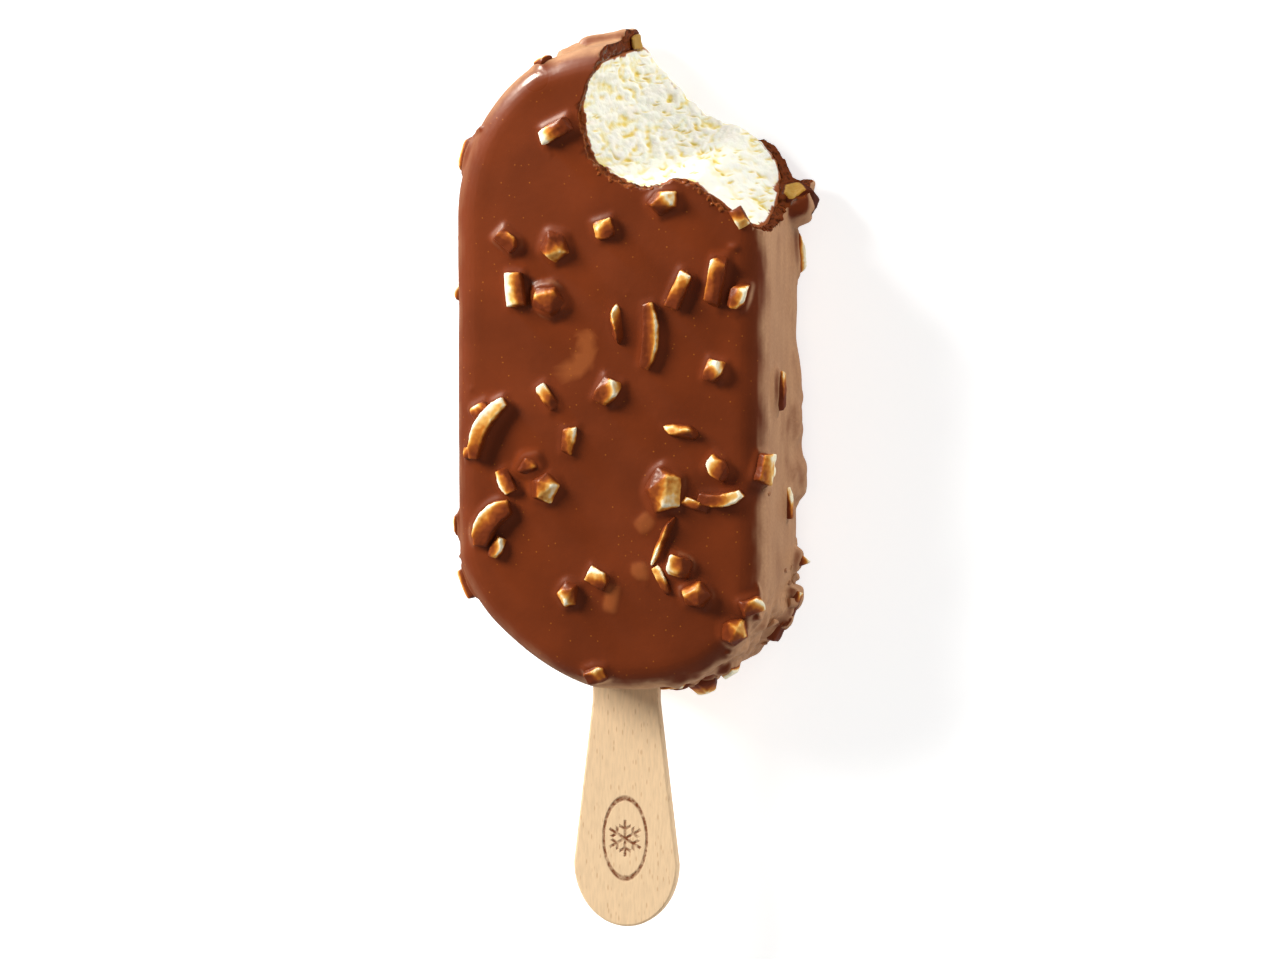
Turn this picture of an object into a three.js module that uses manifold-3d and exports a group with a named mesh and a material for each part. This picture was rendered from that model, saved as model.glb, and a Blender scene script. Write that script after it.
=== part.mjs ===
// An ice cream bar on a flat wooden stick, coated in milk chocolate with chopped almonds.
// One large bite is gone from the top right corner.
// The bar lies on its flat back: X runs across it, +Y towards the bitten end, away from the
// stick, and +Z out of its front. The origin is the middle of the back face. Millimetres.

import * as THREE from 'three';
import { ConvexGeometry } from 'three/addons/geometries/ConvexGeometry.js';
import { mergeVertices } from 'three/addons/utils/BufferGeometryUtils.js';
import Module from 'manifold-3d';

const GAP = 0.3;

const BAR = { length: 101, width: 50, thickness: 25, edgeRadius: 4.5, coat: 2 };

// The outline is two caps joined by straight sides; each half of a cap is a superellipse.
const TOP_CAP = { height: 27.5, flat: 0, leftPower: 1.96, rightPower: 1.9, steps: 31 };
const BOTTOM_CAP = { height: 20.5, flat: 2, leftPower: 1.5, rightPower: 2.4, steps: 25 };

const STICK = {
  top: 23.9,
  tip: -89.1,
  neckWidth: 10.7,
  paddleWidth: 16.9,
  flareFrom: -53.2,
  paddleFrom: -79.1,
  thickness: 2,
  edgeRadius: 0.35,
};

// The edge of the bite from the top wall to the right wall, across the front face and across
// the back face. The bitten surface sags between the two, most of all at the right wall.
const BITE = {
  front: [
    [-1.5, 47], [-3.8, 42.3], [-4.3, 37.5], [-3.4, 33.6], [-1.5, 30.9], [1.4, 28.7],
    [5.5, 27.6], [8.2, 27.9], [10.6, 28.9], [13.6, 28.4], [16, 26.6], [19.5, 24.3], [24.4, 21.4],
  ],
  back: [
    [-0.4, 50.3], [1.1, 48.9], [3.7, 46.2], [6.2, 44.1], [9, 41.5], [12, 39.1], [17.5, 36.8],
    [21.3, 33.8], [24, 31.6], [25.6, 30.4],
  ],
  sag: 1,
  endSag: 3,
  endFrom: 0.75,
  stepsAlong: 30,
  stepsDeep: 7,
  reach: 45,
  below: -3,
  above: 29,
};

// Rings of corners that make a chopped almond, as shares of half its size: how many corners,
// how far out and how high. The first corner starts at the given part of a step.
const FORMS = {
  chunk: [
    { corners: 6, reach: 1.02, level: -1, start: 0.1 },
    { corners: 5, reach: 1.04, level: 0.05, start: 0.4 },
    { corners: 3, reach: 0.62, level: 1, start: 0.7 },
  ],
  slab: [
    { corners: 4, reach: 1.36, level: -1, start: 0.5 },
    { corners: 4, reach: 1.2, level: 0.75, start: 0.5 },
    { corners: 2, reach: 0.62, level: 1, start: 0.1 },
  ],
  ridge: [
    { corners: 6, reach: 1.06, level: -1, start: 0 },
    { corners: 2, reach: 0.98, level: 0.25, start: 0 },
    { corners: 2, reach: 0.66, level: 1, start: 0.12 },
  ],
  spike: [
    { corners: 5, reach: 1.02, level: -1, start: 0.2 },
    { corners: 3, reach: 0.85, level: 0, start: 0.1 },
    { corners: 1, reach: 0.2, level: 1, start: 0.3 },
  ],
};
const CORNER_JITTER = { turn: 0.3, reach: 0.2, level: 0.22 };
const SLICE = { steps: 6, endWidth: 0.62, topWidth: 0.78, endDrop: 0.22 };
const SUNK = 1;
const DICE = { spread: 7919, multiplier: 16807, modulus: 2147483647 };

// The larger almond pieces on the front face. `at` is the middle of a piece, `size` its length,
// width and height, and `turn` how far its length is turned from crosswise, in degrees.
const FRONT_ALMONDS = [
  { name: 'top_left', form: 'slab', at: [-8, 36.5], size: [5.8, 2.9, 3], turn: 30 },
  { name: 'cube_left', form: 'chunk', at: [-8, 18.6], size: [4.6, 5, 3], turn: 20 },
  { name: 'plank_left', form: 'slab', at: [-14.3, 11.5], size: [7, 3.5, 3], turn: 98 },
  { name: 'chip_left', form: 'chunk', at: [-9.1, 10.4], size: [6.6, 5.6, 3], turn: -35 },
  { name: 'plank_right', form: 'slab', at: [11.8, 12], size: [7, 3, 2.8], turn: 68 },
  { name: 'plank_tall', form: 'slab', at: [17.6, 13.3], size: [9.4, 3.2, 3], turn: 80 },
  { name: 'bite_edge', form: 'chunk', at: [9.4, 25.7], size: [5.6, 4.4, 3.2], turn: 10 },
  { name: 'sliver_middle', form: 'ridge', at: [1.8, 6.7], size: [6.4, 2.4, 2.2], turn: 98 },
  { name: 'slice_middle', form: 'slice', at: [7, 5], size: [10, 2.8, 2.6], turn: 87, bend: -0.08 },
  { name: 'hook_middle', form: 'slice', at: [-4.3, 1.6], size: [7.4, 2.6, 1.6], turn: 62, bend: -0.2 },
  { name: 'slice_left', form: 'slice', at: [-19.1, -9.7], size: [10.4, 2.7, 3.2], turn: 61, bend: 0.13 },
  { name: 'flake_left', form: 'slab', at: [-5.8, -11.5], size: [5.2, 2.5, 2.3], turn: 80 },
  { name: 'chunk_sunken', form: 'chunk', at: [-12.4, -15.5], size: [4.4, 3.4, 2.2], turn: 25 },
  { name: 'chunk_left', form: 'chunk', at: [-9.6, -18.9], size: [5, 4.6, 3], turn: 50 },
  { name: 'sliver_right', form: 'ridge', at: [12.1, -9.7], size: [6, 2.6, 2.4], turn: -10 },
  { name: 'slice_low', form: 'slice', at: [18.4, -19.8], size: [6.8, 2.3, 2.6], turn: 6, bend: -0.13 },
  { name: 'chunk_large', form: 'chunk', at: [9.3, -18.8], size: [7.8, 6, 3.2], turn: 78 },
  { name: 'crescent_left', form: 'slice', at: [-18.2, -24.6], size: [7.8, 4, 2.8], turn: 53, bend: 0.18 },
  { name: 'splinter_low', form: 'ridge', at: [9.1, -26.6], size: [8.6, 2, 2], turn: 66 },
  { name: 'cube_low', form: 'chunk', at: [14.5, -35], size: [5, 4.4, 3.2], turn: -20 },
  { name: 'chip_low', form: 'chunk', at: [-5.9, -35.3], size: [4.8, 3.8, 3], turn: 75 },
];

// Those on the rounded edges and the walls. A line from `at` in the direction `out` leaves the
// bar where the piece sits.
const EDGE_ALMONDS = [
  {
    name: 'corner_low', form: 'chunk', size: [5, 4.6, 3], turn: 30,
    at: [15.8, -37, 15], out: [0.5, -0.4, 1],
  },
  {
    name: 'rim_right', form: 'slab', size: [5.8, 3.4, 2.9], turn: 80,
    at: [17, -15.4, 15], out: [1, 0, 1],
  },
  {
    name: 'wall_middle', form: 'slice', size: [5.8, 2.4, 2.4], turn: 90, bend: 0.1,
    at: [10, -3.8, 15.8], out: [1, 0, 0],
  },
  {
    name: 'wall_high', form: 'ridge', size: [7.6, 3, 3], turn: 92,
    at: [10, 16.6, 8], out: [1, 0, -0.3],
  },
  {
    name: 'wall_ragged', form: 'chunk', size: [8.6, 3.6, 3], turn: 84,
    at: [10, -18.4, 8], out: [1, 0, -0.3],
  },
  {
    name: 'wall_spike', form: 'spike', size: [4, 3.4, 4.2], turn: 80,
    at: [10, -29.8, 4.6], out: [1, -0.1, 0],
  },
  {
    name: 'wall_low', form: 'slab', size: [6.6, 3.6, 2.6], turn: 86,
    at: [12, -32.6, 6], out: [0.8, -0.64, 0],
  },
  {
    name: 'base_right', form: 'chunk', size: [6, 4.6, 4.2], turn: 5,
    at: [8.2, -40, 8], out: [0.3, -1, 0],
  },
  {
    name: 'rim_low_left', form: 'slab', size: [5.4, 3, 2.8], turn: 98,
    at: [-15.6, -33, 14.6], out: [-1, -0.2, 0.65],
  },
  {
    name: 'rim_high_left', form: 'ridge', size: [6.8, 3.2, 2.8], turn: 80,
    at: [-15, 29.2, 14.6], out: [-1, 0.35, 0.6],
  },
  {
    name: 'bitten_corner', form: 'chunk', size: [5.4, 4.8, 4], turn: 30,
    at: [10, 24.2, 6.5], out: [1, 0.05, -0.1],
  },
];

const wasm = await Module();
wasm.setup();

// A closed three.js geometry as a solid that can be cut and joined.
function solidOf(geometry) {
  const bare = geometry.clone();
  bare.deleteAttribute('normal');
  bare.deleteAttribute('uv');
  const welded = mergeVertices(bare, 1e-3);
  const mesh = new wasm.Mesh({
    numProp: 3,
    vertProperties: Float32Array.from(welded.attributes.position.array),
    triVerts: Uint32Array.from(welded.index.array),
  });
  return new wasm.Manifold(mesh);
}

function geometryOf(solid) {
  const { vertProperties, triVerts } = solid.getMesh();
  const geometry = new THREE.BufferGeometry();
  geometry.setAttribute('position', new THREE.BufferAttribute(vertProperties, 3));
  geometry.setIndex(new THREE.BufferAttribute(triVerts, 1));
  geometry.computeVertexNormals();
  return geometry;
}

// Moves each point of a box that runs from -1 to 1 along its axes to where `place` puts it.
function shapedBox(steps, place) {
  const box = new THREE.BoxGeometry(2, 2, 2, ...steps);
  const corners = box.attributes.position;
  for (let i = 0; i < corners.count; i++) {
    const moved = place(corners.getX(i), corners.getY(i), corners.getZ(i));
    corners.setXYZ(i, moved.x, moved.y, moved.z);
  }
  return box;
}

// One cap of the outline, anticlockwise, seen from the front; `side` is 1 at the top and -1
// at the bottom.
function capPoints(cap, side, inset) {
  const reach = BAR.width / 2 - inset - cap.flat;
  const height = cap.height - inset;
  const middle = side * (BAR.length / 2 - cap.height);
  const points = [];
  for (let i = 0; i <= cap.steps; i++) {
    const angle = Math.PI * i / cap.steps;
    const across = side * Math.cos(angle);
    const power = 2 / (across > 0 ? cap.rightPower : cap.leftPower);
    points.push(new THREE.Vector2(
      Math.sign(across) * (cap.flat + reach * Math.abs(across) ** power),
      middle + side * height * Math.sin(angle) ** power,
    ));
  }
  return points;
}

function barOutline(inset) {
  return [...capPoints(TOP_CAP, 1, inset), ...capPoints(BOTTOM_CAP, -1, inset)];
}

// The bar's body with its rounded edges, drawn in on every side by `inset`.
function barBody(inset, edgeSteps) {
  const radius = BAR.edgeRadius - inset;
  const body = new THREE.ExtrudeGeometry(new THREE.Shape(barOutline(inset)), {
    depth: BAR.thickness - 2 * BAR.edgeRadius,
    bevelThickness: radius,
    bevelSize: radius,
    bevelOffset: -radius,
    bevelSegments: edgeSteps,
  });
  return body.translate(0, 0, BAR.edgeRadius);
}

// The flat stick, thicker and wider all round by `grown` when it serves as its own slot.
function stickGeometry(grown) {
  const neck = STICK.neckWidth / 2 + grown;
  const paddle = STICK.paddleWidth / 2 + grown;
  const topMiddle = STICK.top - STICK.neckWidth / 2;
  const tipLength = STICK.paddleFrom - STICK.tip + grown;
  const outline = new THREE.Shape();
  outline.moveTo(neck, STICK.flareFrom);
  outline.lineTo(neck, topMiddle);
  outline.absarc(0, topMiddle, neck, 0, Math.PI, false);
  outline.lineTo(-neck, STICK.flareFrom);
  outline.lineTo(-paddle, STICK.paddleFrom);
  outline.absellipse(0, STICK.paddleFrom, paddle, tipLength, Math.PI, 2 * Math.PI, false, 0);
  outline.closePath();
  const thickness = STICK.thickness + 2 * grown;
  const stick = new THREE.ExtrudeGeometry(outline, {
    depth: thickness - 2 * STICK.edgeRadius,
    bevelThickness: STICK.edgeRadius,
    bevelSize: STICK.edgeRadius,
    bevelOffset: -STICK.edgeRadius,
    bevelSegments: 2,
    curveSegments: 16,
  });
  return stick.translate(0, 0, (BAR.thickness - thickness) / 2 + STICK.edgeRadius);
}

// Everything the bite took: a block whose near side is the bitten surface. Along the block
// the surface follows the bite's edge, and through it goes from the back edge to the front.
function biteGeometry() {
  const [front, back] = [BITE.front, BITE.back].map((edge) => new THREE.CatmullRomCurve3(
    edge.map(([x, y]) => new THREE.Vector3(x, y, 0)), false, 'centripetal',
  ));
  const inward = new THREE.Vector3(-1, -1, 0).normalize();
  return shapedBox([BITE.stepsAlong, 1, BITE.stepsDeep], (u, v, w) => {
    const along = (1 + u) / 2;
    const z = BITE.below + (BITE.above - BITE.below) * (w + 1) / 2;
    const depth = z / BAR.thickness;
    const point = back.getPointAt(along).lerp(front.getPointAt(along), depth);
    const sag = 4 * Math.max(0, depth * (1 - depth));
    point.addScaledVector(inward, sag * BITE.sag * Math.sin(Math.PI * along));
    point.y -= sag * BITE.endSag * THREE.MathUtils.smoothstep(along, BITE.endFrom, 1);
    if (v > 0) {
      const angle = Math.PI / 2 * (1 - along);
      point.x += BITE.reach * Math.cos(angle);
      point.y += BITE.reach * Math.sin(angle);
    }
    return point.setZ(z);
  });
}

// Numbers between 0 and 1, the same run for the same seed.
function dice(seed) {
  let state = seed * DICE.spread;
  return () => {
    state = (state * DICE.multiplier) % DICE.modulus;
    return state / DICE.modulus;
  };
}

function shardGeometry(almond, seed, grown) {
  const roll = dice(seed);
  const half = almond.size.map((size) => size / 2 + grown);
  const points = [];
  for (const ring of FORMS[almond.form]) {
    for (let i = 0; i < ring.corners; i++) {
      const step = i + ring.start + CORNER_JITTER.turn * (roll() - 0.5);
      const angle = 2 * Math.PI * step / ring.corners;
      const reach = ring.reach * (1 - CORNER_JITTER.reach * roll());
      const level = ring.level * (1 - CORNER_JITTER.level * roll());
      points.push(new THREE.Vector3(
        half[0] * reach * Math.cos(angle),
        half[1] * reach * Math.sin(angle),
        half[2] * level,
      ));
    }
  }
  return new ConvexGeometry(points);
}

// A curved slice: a bar bent along a parabola, narrower at its ends and on top.
function sliceGeometry(almond, grown) {
  const [length, width, height] = almond.size;
  const rise = almond.bend * length;
  return shapedBox([SLICE.steps, 1, 1], (u, v, w) => {
    const slope = Math.atan(-4 * almond.bend * u);
    const narrow = (w > 0 ? SLICE.topWidth : 1) * (1 - (1 - SLICE.endWidth) * u ** 4);
    const aside = v * (width / 2 * narrow + grown);
    const top = height / 2 * (1 - SLICE.endDrop * u * u) + grown;
    return new THREE.Vector3(
      u * (length / 2 + grown) - aside * Math.sin(slope),
      rise * (0.5 - u * u) + aside * Math.cos(slope),
      w > 0 ? top : -height / 2 - grown,
    );
  });
}

const outer = barBody(0, 4);
const ray = new THREE.Raycaster();
const outerMesh = new THREE.Mesh(outer);

// Where an almond sits: on the bar's surface, its height along the surface's normal.
function seatOf(almond) {
  const [x, y, z = BAR.thickness / 2] = almond.at;
  const out = new THREE.Vector3(...(almond.out ?? [0, 0, 1])).normalize();
  const start = new THREE.Vector3(x, y, z).addScaledVector(out, BAR.length);
  ray.set(start, out.clone().negate());
  const [hit] = ray.intersectObject(outerMesh);
  const normal = hit.face.normal;
  const up = new THREE.Vector3(0, 1, 0);
  if (Math.abs(normal.y) > 0.9) {
    up.set(0, 0, 1);
  }
  const right = up.clone().cross(normal).normalize();
  up.crossVectors(normal, right);
  const seat = new THREE.Matrix4().makeBasis(right, up, normal);
  seat.setPosition(hit.point);
  const turn = THREE.MathUtils.degToRad(almond.turn);
  seat.multiply(new THREE.Matrix4().makeRotationZ(turn));
  seat.multiply(new THREE.Matrix4().makeTranslation(0, 0, almond.size[2] / 2 - SUNK));
  return seat;
}

function almondSolid(almond, seed, grown) {
  const geometry = almond.form === 'slice'
    ? sliceGeometry(almond, grown)
    : shardGeometry(almond, seed, grown);
  return solidOf(geometry.applyMatrix4(seatOf(almond)));
}

const COLOURS = {
  chocolate: { color: '#74381b', roughness: 0.42, metalness: 0 },
  iceCream: { color: '#f6f0d8', roughness: 0.65, metalness: 0 },
  almond: { color: '#cf9658', roughness: 0.5, metalness: 0 },
  wood: { color: '#e8c69d', roughness: 0.7, metalness: 0 },
};
const bar = new THREE.Group();

function addPiece(name, solid, colour) {
  const mesh = new THREE.Mesh(geometryOf(solid), new THREE.MeshStandardMaterial(COLOURS[colour]));
  mesh.name = name;
  bar.add(mesh);
}

const bite = solidOf(biteGeometry());
const slot = solidOf(stickGeometry(GAP));
const cavity = solidOf(barBody(BAR.coat, 2));
const core = solidOf(barBody(BAR.coat + GAP, 2));

let coating = solidOf(outer).subtract(cavity).subtract(slot).subtract(bite);
[...FRONT_ALMONDS, ...EDGE_ALMONDS].forEach((almond, i) => {
  coating = coating.subtract(almondSolid(almond, i + 1, GAP));
  addPiece(`almond_${almond.name}`, almondSolid(almond, i + 1, 0), 'almond');
});

addPiece('chocolate_coating', coating, 'chocolate');
addPiece('ice_cream', core.subtract(slot).subtract(bite), 'iceCream');
addPiece('stick', solidOf(stickGeometry(0)), 'wood');

export default bar;
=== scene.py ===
# A bitten ice cream bar: vanilla ice cream in a milk chocolate coat with chopped almonds, on a
# flat beech stick. It lies on its back, the bitten corner at the top right.
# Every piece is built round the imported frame: metres, X across, +Y away from the stick, +Z up.
# The shapes are worked out in millimetres, and MM turns those into metres.

import math
import random

import bpy
import numpy as np
from bpy.props import FloatProperty, FloatVectorProperty, IntProperty, PointerProperty
from bpy.types import Operator, Panel, PropertyGroup
from mathutils import Matrix, Vector, noise
from mathutils.bvhtree import BVHTree
from mathutils.kdtree import KDTree


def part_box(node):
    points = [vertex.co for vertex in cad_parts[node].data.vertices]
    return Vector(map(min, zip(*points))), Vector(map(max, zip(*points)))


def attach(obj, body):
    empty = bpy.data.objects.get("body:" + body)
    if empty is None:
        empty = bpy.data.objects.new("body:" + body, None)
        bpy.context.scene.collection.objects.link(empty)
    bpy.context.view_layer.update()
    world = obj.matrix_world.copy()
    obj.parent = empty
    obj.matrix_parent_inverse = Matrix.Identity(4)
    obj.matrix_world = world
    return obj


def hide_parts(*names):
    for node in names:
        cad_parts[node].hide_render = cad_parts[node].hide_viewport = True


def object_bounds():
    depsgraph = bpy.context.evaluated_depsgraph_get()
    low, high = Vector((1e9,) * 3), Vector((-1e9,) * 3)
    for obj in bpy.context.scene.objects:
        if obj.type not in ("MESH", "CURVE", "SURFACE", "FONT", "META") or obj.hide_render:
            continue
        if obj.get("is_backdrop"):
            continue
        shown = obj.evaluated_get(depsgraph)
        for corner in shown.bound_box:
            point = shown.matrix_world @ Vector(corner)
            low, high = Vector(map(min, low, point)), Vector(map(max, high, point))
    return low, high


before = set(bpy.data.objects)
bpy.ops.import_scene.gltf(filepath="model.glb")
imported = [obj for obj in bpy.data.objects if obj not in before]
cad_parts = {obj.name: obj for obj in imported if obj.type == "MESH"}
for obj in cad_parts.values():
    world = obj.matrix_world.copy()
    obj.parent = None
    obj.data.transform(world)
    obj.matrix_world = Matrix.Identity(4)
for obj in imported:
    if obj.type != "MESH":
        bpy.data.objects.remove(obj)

bl_info = {
    "name": "Almond Ice Cream Bar",
    "version": (1, 0, 0),
    "blender": (4, 5, 0),
    "location": "3D View > Sidebar > Ice Cream Bar",
    "description": "Builds a bitten ice cream bar with a chocolate and almond coat on a stick",
    "category": "Add Mesh",
}

CAD_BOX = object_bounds()
COAT_LOW, COAT_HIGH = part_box("chocolate_coating")
MM = 0.001

# The outline is two caps joined by straight sides; each half of a cap is a superellipse, with
# one power to the left and one to the right.
HALF_LENGTH = 50.5
TOP_CAP = {"height": 27.5, "flat": 0.0, "left": 1.96, "right": 1.9}
BOTTOM_CAP = {"height": 20.5, "flat": 2.0, "left": 1.5, "right": 2.4}
OUTLINE_SAMPLES = 240

# Facets round the bar and steps in its rounded edges, on the coat's outside and inside.
OUTSIDE = {"sides": 240, "segments": 8}
INSIDE = {"sides": 160, "segments": 4}

# The edge of the bite, from the top wall to the right wall, on the front and on the back face.
BITE_FRONT = [
    (-1.5, 47), (-3.8, 42.3), (-4.3, 37.5), (-3.4, 33.6), (-1.5, 30.9), (1.4, 28.7), (5.5, 27.6),
    (8.2, 27.9), (10.6, 28.9), (13.6, 28.4), (16, 26.6), (19.5, 24.3), (24.4, 21.4),
]
BITE_BACK = [
    (-0.4, 50.3), (1.1, 48.9), (3.7, 46.2), (6.2, 44.1), (9, 41.5), (12, 39.1), (17.5, 36.8),
    (21.3, 33.8), (24, 31.6), (25.6, 30.4),
]
BITE_SAG = 1.0  # how deep the cut sags between the front and the back
END_SAG, END_FROM = 3.0, 0.75  # more sag at the right wall, from this share of its length on
BITE_KNOTS = 600  # points along each edge
BITE_RUN_OUT = 7.0  # how far the cutter runs past both ends
BITE_BELOW, BITE_ABOVE = -3.0, 29.0  # its lowest and highest point
BITE_REACH = 45.0  # how far it goes out of the bar
BROKEN_SPACING, TOOTH_SPACING = 0.25, 0.6  # its spacing where it cuts chocolate and almonds

BACK_RECESS = 3.6  # how much further in the coat breaks at its back
TOP_CHAMFER = 0.9  # at the front edge of the top wall, beside the bite
THIN_WALL = 0.65  # how much thinner the right wall is near the bite
FLANGE = 1.25  # how far the foot of the right wall bulges
SMOOTH_SPOT, SMOOTH_REACH = (-11.6, 44.8, 24.4), 3.6  # glossy, on the upper left rim
COAT_KEPT = 0.42  # share of the coat's faces that are kept
CORE_GAP, STICK_GAP = 0.12, 0.06  # room round the ice cream and round the stick
CRUMB_VOXEL = 0.14

# How each large almond piece looks: how much of its height the chocolate covers (over 1 drowns
# it), the side that is bare, in degrees from crosswise, how much thicker its film is than
# usual, from -1 to 1, and "bitten" where the bite went through it.
ALMOND_LOOKS = {
    "almond_top_left": (0.55, 205, 0.12),
    "almond_cube_left": (0.55, -60, 0.12),
    "almond_plank_left": (0.4, 180, -0.12),
    "almond_chip_left": (0.75, 110, 0.28),
    "almond_plank_right": (0.55, 115, 0.1),
    "almond_plank_tall": (0.45, 150, 0.26),
    "almond_bite_edge": (0.5, 40, 0.08),
    "almond_sliver_middle": (0.2, 95, 0.05),
    "almond_slice_middle": (0.4, 0, 0.25),
    "almond_hook_middle": (1.3, 0, 0.5),
    "almond_slice_left": (0.45, 135, -0.12),
    "almond_flake_left": (0.45, 10, 0.05),
    "almond_chunk_sunken": (0.75, 10, 0.3),
    "almond_chunk_left": (0.45, -25, 0.0),
    "almond_sliver_right": (0.2, 100, 0.06),
    "almond_slice_low": (0.35, -30, 0.1),
    "almond_chunk_large": (0.5, -20, 0.0),
    "almond_crescent_left": (0.5, 135, 0.2),
    "almond_splinter_low": (0.0, 180, -0.1),
    "almond_cube_low": (0.55, 120, 0.2),
    "almond_chip_low": (0.5, 235, -0.05),
    "almond_corner_low": (0.55, 60, 0.1),
    "almond_rim_right": (0.5, 0, 0.22),
    "almond_rim_low_left": (0.5, 180, 0.25),
    "almond_rim_high_left": (0.6, 180, 0.2),
    "almond_bitten_corner": (0.95, 120, 0.2, "bitten"),
    "almond_wall_middle": (0.7, 90, 0.3),
    "almond_wall_high": (0.5, 0, 0.15),
    "almond_wall_ragged": (0.5, 0, 0.1),
    "almond_wall_spike": (0.6, 60, 0.2),
    "almond_wall_low": (0.6, 60, 0.25),
    "almond_base_right": (0.6, -90, 0.25),
}

# Smaller almond pieces on the front: place (x, y), size (length, width, height), turn from
# crosswise in degrees, and the look as above.
FRONT_BITS = [
    ((-15.7, 19.4), (3.6, 2.6, 2.2), -40, (0.85, 60, 0.4)),
    ((-0.1, 21.4), (3.2, 3.0, 2.4), 15, (0.6, 150, 0.05)),
    ((21.1, 11.4), (4.0, 2.6, 2.6), 75, (0.5, 0, 0.05)),
    ((21.3, 23.4), (3.2, 2.1, 1.5), -60, (0.1, -90, 0.0)),
    ((0.5, -3.7), (4.2, 3.3, 2.6), 65, (0.55, 0, 0.08)),
    ((-9.3, -4.8), (4.4, 2.0, 1.9), -55, (0.5, 150, 0.0)),
    ((-20.2, -7.1), (3.0, 2.2, 1.9), 30, (0.65, 120, 0.2)),
    ((-21.8, -13.7), (2.4, 2.0, 1.6), 10, (0.6, 120, 0.3)),
    ((-16.0, -18.0), (4.0, 2.4, 2.0), -65, (0.6, 200, 0.15)),
    ((18.0, -15.2), (3.8, 3.0, 2.0), -30, (0.6, 140, 0.05)),
    ((14.3, -21.0), (4.4, 1.5, 1.5), -18, (0.5, 90, 0.12)),
    ((-17.4, -28.4), (3.4, 2.0, 1.9), 70, (0.5, 0, 0.0)),
    ((12.0, -30.6), (3.6, 3.2, 2.6), -15, (0.55, 190, 0.1)),
    ((9.1, -32.8), (4.7, 1.5, 1.5), -60, (0.3, 60, 0.0)),
    ((-1.2, -32.8), (3.5, 2.8, 2.2), -25, (0.5, 100, 0.02)),
    ((6.2, -24.1), (1.9, 1.6, 0.9), 40, (1.15, 0, 0.5)),
    ((5.6, -31.5), (1.9, 1.7, 0.9), 0, (1.15, 0, 0.5)),
    ((0.9, -35.9), (3.4, 1.2, 0.9), 80, (1.15, 0, 0.5)),
    ((17.4, -0.2), (3.4, 2.8, 2.4), 75, (0.55, 60, 0.06)),
    ((-1.6, -48.1), (3.2, 2.6, 2.0), 20, (0.6, 60, 0.15)),
]

# The same on the rims and walls; the place is (x, y, z) near the surface.
WALL_BITS = [
    ((-25.6, 10.9, 19.0), (2.4, 1.6, 1.8), 80, (0.35, 90, -0.3)),
    ((-25.2, 18.9, 19.0), (2.2, 1.6, 1.2), 80, (0.7, 90, 0.2)),
    ((-4.5, 50.5, 6.0), (8.0, 9.0, 1.0), 6, (1.1, 90, 0.5)),
    ((-1.7, 50.4, 4.8), (3.6, 8.6, 2.4), 35, (0.0, 0, -0.5, "bitten")),
    ((-8.4, 50.2, 17.0), (3.4, 2.8, 1.6), 25, (1.1, 90, 0.5)),
    ((-12.5, 48.4, 20.5), (4.2, 2.2, 1.2), 30, (0.6, 120, -0.1)),
    ((25.0, -21.8, 9.6), (5.0, 1.5, 1.8), 90, (0.45, 60, 0.0)),
    ((-25.2, -25.4, 20.0), (3.4, 2.4, 1.6), 80, (0.8, 180, 0.2)),
    ((22.8, -36.6, 23.5), (3.6, 2.6, 2.0), 20, (0.6, 60, 0.1)),
    ((24.4, -38.8, 5.0), (6.0, 4.0, 2.6), 80, (0.95, 0, 0.4)),
    ((7.8, -50.2, 14.0), (4.2, 1.4, 1.6), 10, (0.5, -60, 0.0)),
    ((9.0, -51.0, 12.0), (3.8, 3.0, 2.0), 0, (1.0, 0, 0.3)),
    ((16.5, -46.0, 16.0), (4.4, 3.0, 2.4), 10, (0.6, -60, 0.1)),
    ((25.2, -15.8, 20.5), (2.2, 1.6, 1.6), 60, (0.6, 30, 0.0)),
]

# Where crumbs of chocolate lie: a line through places (x, y, z), their number, how far they
# stray from it, and their largest size.
BITE_CRUMBS = [
    ([(-2.5, 31.8, 24.6), (2.0, 28.2, 24.8), (8.0, 27.6, 24.8)], 20, 0.3, 0.8),
    ([(12.5, 28.4, 24.8), (16.0, 26.4, 24.8), (20.5, 23.4, 24.8)], 22, 0.35, 0.9),
    ([(23.4, 21.6, 24.2), (24.6, 22.0, 18.0), (24.4, 23.2, 11.0)], 18, 0.45, 1.0),
]
EDGE_CRUMBS = [
    ([(24.5, -30.0, 6.0), (22.0, -41.0, 6.0), (13.0, -49.0, 8.0)], 24, 1.5, 2.4),
    ([(-9.0, -49.5, 12.0), (10.0, -50.4, 12.0)], 16, 1.0, 1.5),
    ([(23.6, -14.0, 22.6), (24.4, -19.0, 21.5)], 12, 0.6, 1.1),
]

ALMOND_SUNK, BITTEN_SUNK = 0.7, 1.9  # how deep small almonds sit, whole and bitten
DROWNED_DEPTH = 0.7  # how much deeper a drowned large one lies than in the CAD
BITTEN_PROUD = 0.7  # how far bitten almonds stand out of the bite
BARE_DEPTH = 0.35  # how near to the mark of the teeth they are bare
CLIMB, CLIMB_POWER, DROWNED_CLIMB = 0.9, 1.5, 1.25  # how high the chocolate is drawn up
USUAL_PLUMP = 0.06

# How much further out than in the CAD the faces of some large almonds are.
PLUMPED = {
    "almond_splinter_low": 0.5, "almond_sliver_middle": 0.6, "almond_cube_left": 0.35,
    "almond_sliver_right": 0.4, "almond_chunk_large": 0.4, "almond_chunk_left": 0.3,
    "almond_chunk_sunken": 0.3, "almond_cube_low": 0.3, "almond_top_left": 0.2,
    "almond_bitten_corner": 1.1,
}

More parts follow.
